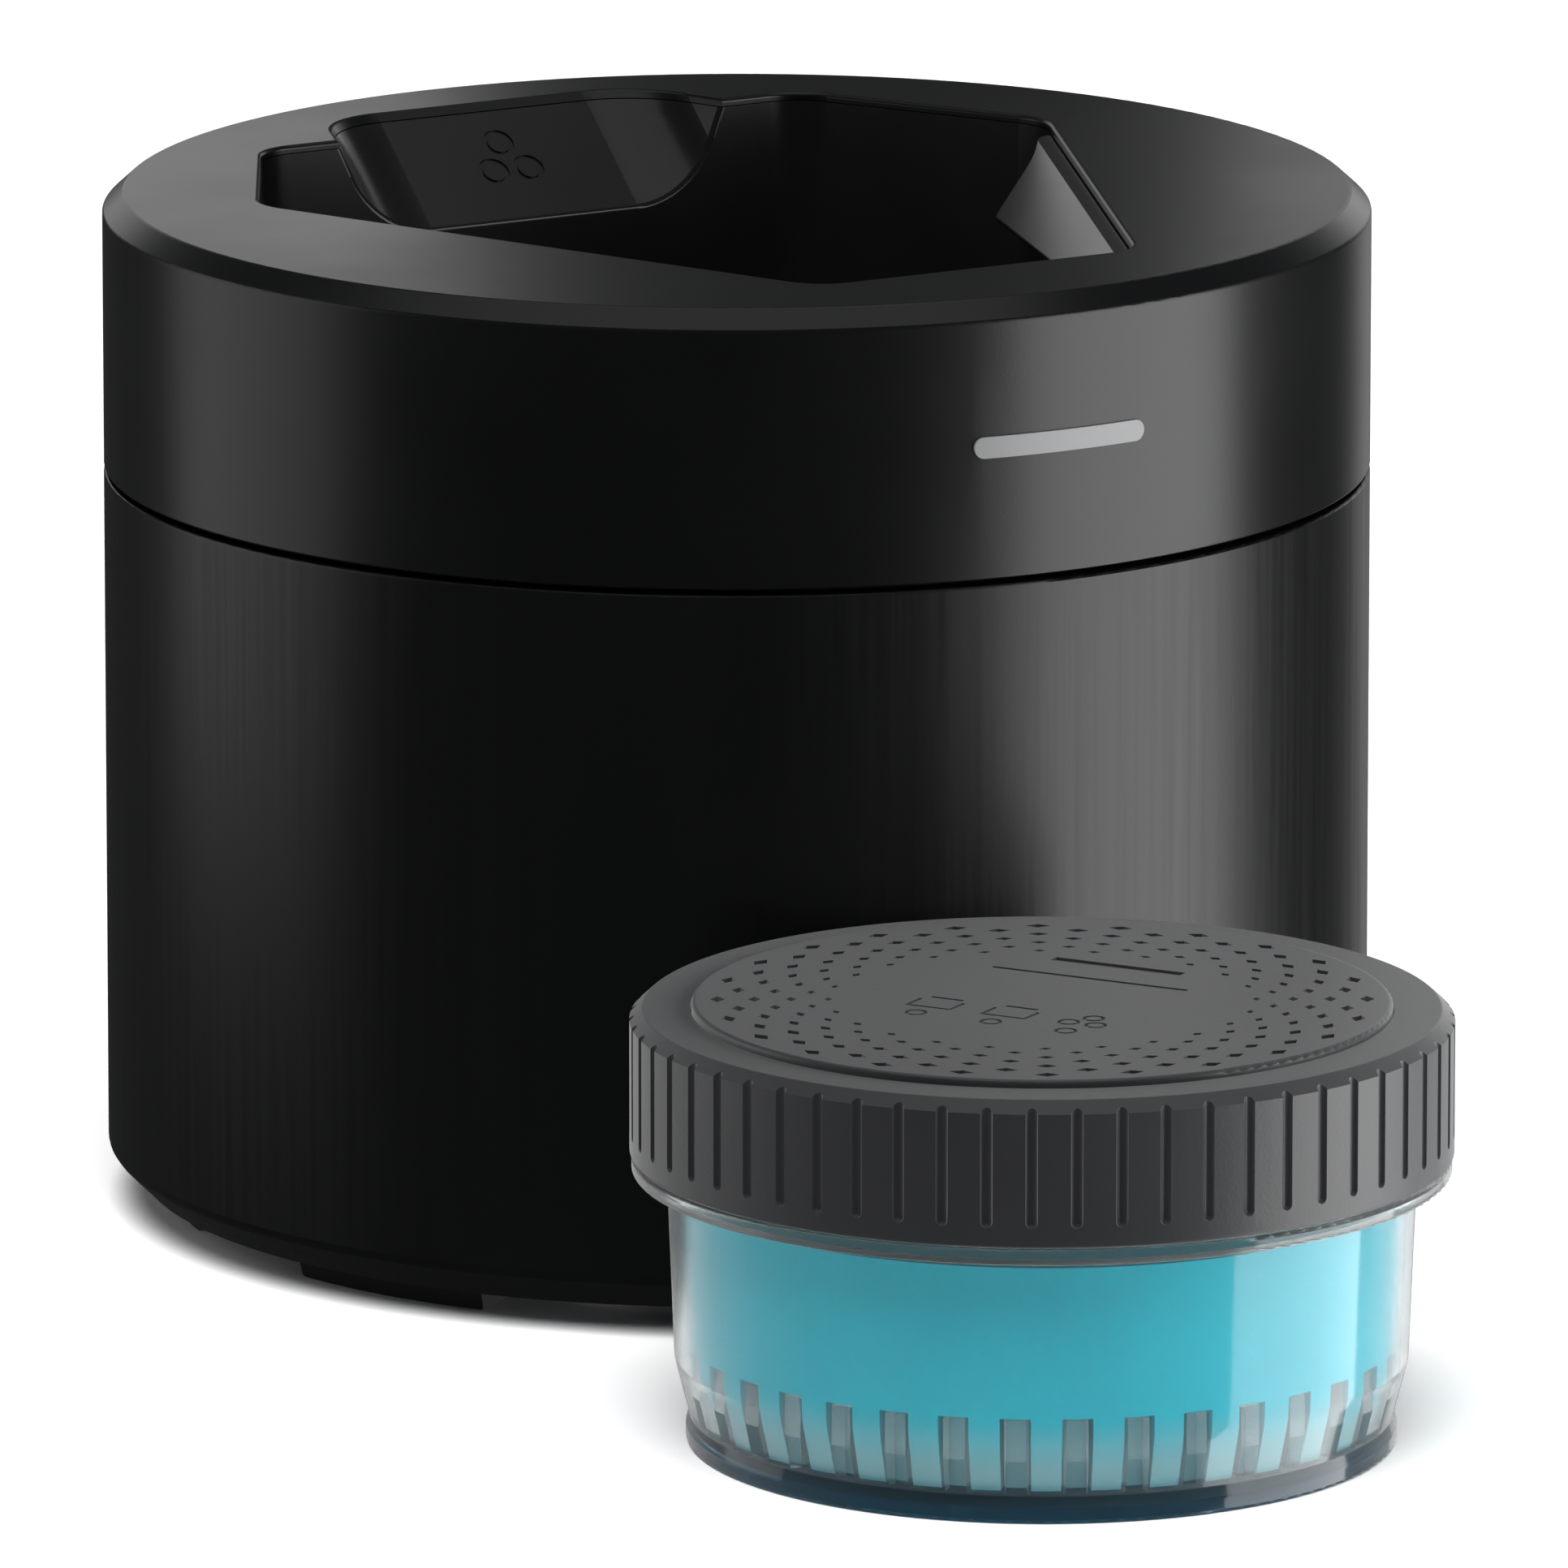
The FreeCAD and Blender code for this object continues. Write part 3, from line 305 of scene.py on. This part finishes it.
paint(moulded("pump_grey", dark=(0.06, 0.062, 0.066), light=(0.085, 0.088, 0.092),
              rough=(0.4, 0.5), grain=1400, bump=0.3),
      "pump_housing", "pump_cover", "riser_tube", "spray_nozzle", "drain_funnel")
paint(moulded("acetal", dark=(0.66, 0.65, 0.60), light=(0.74, 0.73, 0.69),
              rough=(0.35, 0.45), grain=1500, bump=0.2),
      "upper_bush", "lower_bush", "impeller", "drive_peg")
paint(metal("shaft_steel", colour=(0.75, 0.75, 0.76), rough=(0.12, 0.22)), "pump_shaft")
paint(metal("filter_steel", colour=(0.6, 0.61, 0.62), rough=(0.3, 0.42)), "drain_filter")
paint(clear_plastic("clear_cup"), "cartridge_cup")
paint(moulded("filter_white", dark=(0.62, 0.64, 0.64), light=(0.72, 0.74, 0.74),
              rough=(0.45, 0.55), grain=1200, bump=0.3),
      "filter_plate")
paint(fleece("filter_fleece"), "fine_filter")
paint(matt_cap("cap_charcoal"), "cartridge_cap", "cap_disc")


# ---------------------------------------------------------------- the fluid in the cup

def inner_wall(z):
    """Radius of the cup's inside at height z above its foot."""
    start, end = (WALL_FOOT, WALL_BEND) if z < WALL_BEND[0] else (WALL_BEND, WALL_RIM)
    return start[1] + (end[1] - start[1]) * (z - start[0]) / (end[0] - start[0])


def fluid_columns():
    """(angle, between ribs) round the fluid; it stands off each of the cup's ribs."""
    columns = []
    for rib in range(RIB_COUNT):
        middle = (rib + 0.5) * 360 / RIB_COUNT
        for step in STEPS_ON_RIB:
            columns.append((math.radians(middle + step), False))
        for step in STEPS_IN_GAP:
            columns.append((math.radians(middle + step), True))
    return columns


def make_fluid():
    """Body of fluid a hair inside the cup's wall and ribs, with a meniscus round its top."""
    columns = fluid_columns()
    mesh = bmesh.new()

    def ring(z, inset, rib_zone=False):
        verts = []
        for angle, between in columns:
            r = RIB_FACE - FLUID_CLEAR if rib_zone and not between else inner_wall(z) - inset
            verts.append(mesh.verts.new((CUP_CENTRE.x + r * math.cos(angle),
                                         CUP_CENTRE.y + r * math.sin(angle), CUP_LOW.z + z)))
        return verts

    rib_top = RIB_TOP - CUP_LOW.z
    rings = [ring(z, FLUID_CLEAR, True) for z in (*RINGS_AMONG_RIBS, rib_top + FLUID_CLEAR)]
    rings += [ring(z, FLUID_CLEAR) for z in (rib_top + RIB_SHOULDER, *RINGS_ON_WALL)]
    rings += [ring(z, FLUID_CLEAR + inset) for z, inset in MENISCUS]
    for lower, upper in zip(rings, rings[1:]):
        for k in range(len(columns)):
            after = (k + 1) % len(columns)
            mesh.faces.new((lower[k], lower[after], upper[after], upper[k]))
    mesh.faces.new(rings[-1])
    mesh.faces.new(reversed(rings[0]))
    data = bpy.data.meshes.new("fluid_body")
    mesh.to_mesh(data)
    mesh.free()
    data.shade_smooth()
    data.set_sharp_from_angle(angle=FLUID_SHARP)
    fluid = bpy.data.objects.new("fluid_body", data)
    scene.collection.objects.link(fluid)
    data.materials.append(fluid_material("teal_fluid"))
    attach(fluid, "cartridge")
    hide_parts("cleaning_fluid")


make_fluid()


# ---------------------------------------------------------------- floor, lights, camera

def make_floor():
    mesh = bpy.data.meshes.new("floor")
    corners = [(x * FLOOR_HALF, y * FLOOR_HALF, 0) for x, y in ((-1, -1), (1, -1), (1, 1), (-1, 1))]
    mesh.from_pydata(corners, [], [(0, 1, 2, 3)])
    floor = bpy.data.objects.new("floor", mesh)
    scene.collection.objects.link(floor)
    material, tree, shader = new_material("floor_white")
    slow = noise(tree, object_coords(tree), 3, 2)
    pale = tinted(tree, slow, (0.90, 0.90, 0.90), (0.93, 0.93, 0.93))
    tree.links.new(pale, shader.inputs["Base Color"])
    shader.inputs["Roughness"].default_value = 0.9
    shader.inputs["Specular IOR Level"].default_value = 0.1
    mesh.materials.append(material)
    # the pod doesn't mirror the floor, and the low softboxes shine past it
    floor.visible_glossy = False
    floor.visible_shadow = False


def camera_frame():
    """Level directions from the pod towards the camera, and to the camera's right."""
    towards = Vector((math.sin(CAMERA_TURN), -math.cos(CAMERA_TURN), 0))
    right = Vector((math.cos(CAMERA_TURN), math.sin(CAMERA_TURN), 0))
    return towards, right


def area_light(name, place, aim, width, height, watts):
    """Softbox; place and aim are metres right of, towards the camera from, and above the pod's foot."""
    towards, right = camera_frame()
    start, end = (right * across + towards * nearer + Vector((0, 0, up))
                  for across, nearer, up in (place, aim))
    data = bpy.data.lights.new(name, "AREA")
    data.shape = "RECTANGLE"
    data.size = width
    data.size_y = height
    data.energy = watts
    light = bpy.data.objects.new(name, data)
    light.location = start
    light.rotation_mode = "QUATERNION"
    light.rotation_quaternion = (end - start).to_track_quat("-Z", "Y")
    scene.collection.objects.link(light)


def sun_light(name, height, turn, spread, strength):
    """Wide, soft light, not mirrored; height, turn to the left of the camera and spread in degrees."""
    towards, right = camera_frame()
    level = towards * math.cos(math.radians(turn)) - right * math.sin(math.radians(turn))
    source = level * math.cos(math.radians(height)) + Vector((0, 0, math.sin(math.radians(height))))
    data = bpy.data.lights.new(name, "SUN")
    data.energy = strength
    data.angle = math.radians(spread)
    light = bpy.data.objects.new(name, data)
    light.rotation_mode = "QUATERNION"
    light.rotation_quaternion = (-source).to_track_quat("-Z", "Y")
    light.visible_glossy = False
    scene.collection.objects.link(light)


def make_world():
    world = bpy.data.worlds.new("studio")
    world.use_nodes = True
    background = world.node_tree.nodes["Background"]
    background.inputs["Color"].default_value = (0.95, 0.97, 1.0, 1)
    background.inputs["Strength"].default_value = 0.05
    scene.world = world


def make_camera():
    towards, right = camera_frame()
    data = bpy.data.cameras.new("camera")
    data.lens = CAMERA_LENS
    data.sensor_width = 36.0
    data.clip_end = 100.0
    camera = bpy.data.objects.new("camera", data)
    place = towards * CAMERA_REACH + Vector((0, 0, CAMERA_HEIGHT))
    # height where the line of sight meets the pod's axis
    sight = CAMERA_HEIGHT - CAMERA_REACH * math.tan(CAMERA_PITCH)
    target = right * AIM_RIGHT + Vector((0, 0, sight - AIM_DROP))
    camera.location = place
    camera.rotation_mode = "QUATERNION"
    camera.rotation_quaternion = (target - place).to_track_quat("-Z", "Y")
    scene.collection.objects.link(camera)
    scene.camera = camera


make_floor()
make_world()
area_light("right_key", place=(0.32, 0.12, 0.01), aim=(0, 0, 0.06),
           width=0.29, height=0.50, watts=2.1)
area_light("left_fill", place=(-0.30, 0.0, 0.12), aim=(0, 0, 0.10),
           width=0.23, height=0.26, watts=0.20)
area_light("right_rim", place=(0.24, -0.47, 0.0), aim=(0, 0, 0.05),
           width=0.18, height=0.50, watts=0.14)
area_light("back_left", place=(-0.125, -0.30, 0.178), aim=(0, 0, 0.107),
           width=0.20, height=0.13, watts=0.066)
area_light("back_right", place=(0.140, -0.30, 0.178), aim=(0, 0, 0.107),
           width=0.18, height=0.13, watts=0.046)
area_light("ceiling", place=(0, 0, 1.5), aim=(0, 0, 0),
           width=1.5, height=1.5, watts=5.0)
sun_light("overhead", height=66, turn=15, spread=45, strength=4.0)
make_camera()
scene.view_settings.view_transform = "Standard"
